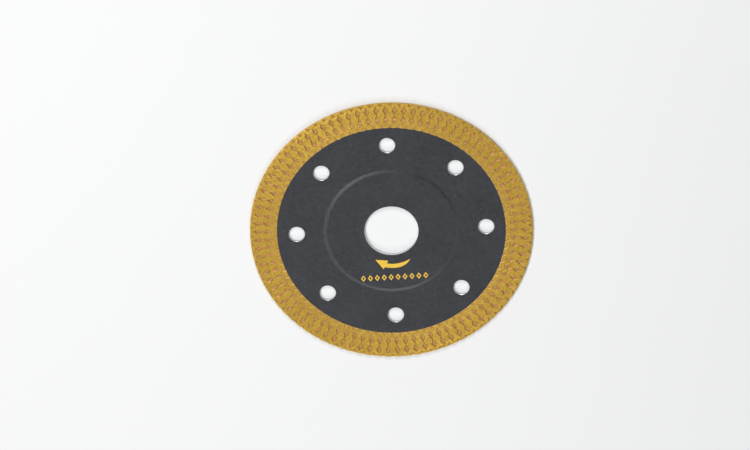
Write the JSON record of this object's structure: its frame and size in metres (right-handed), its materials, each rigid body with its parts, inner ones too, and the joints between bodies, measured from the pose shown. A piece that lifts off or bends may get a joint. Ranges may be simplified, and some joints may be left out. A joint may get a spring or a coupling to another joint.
{
  "type": "diamond blade",
  "caption": "Flat round diamond blade with a raised clamping boss round its bore, cooling holes in the web and a continuous rim with a mesh relief on both faces.",
  "frame": {"origin": "centre of the bore, half way through the blade's thickness", "axes": "+Z along the spindle axis, out of the printed face; +Y towards the cooling hole opposite the printed rotation arrow; the blade lies flat in XY"},
  "size_m": [0.105, 0.105, 0.0016],
  "materials": {
    "core_paint": "satin black paint on steel",
    "rim_paint": "grainy gold paint on sintered metal"
  },
  "bodies": {
    "root": {"steel_core": "core_paint", "diamond_rim": "rim_paint"}
  },
  "joints": []
}
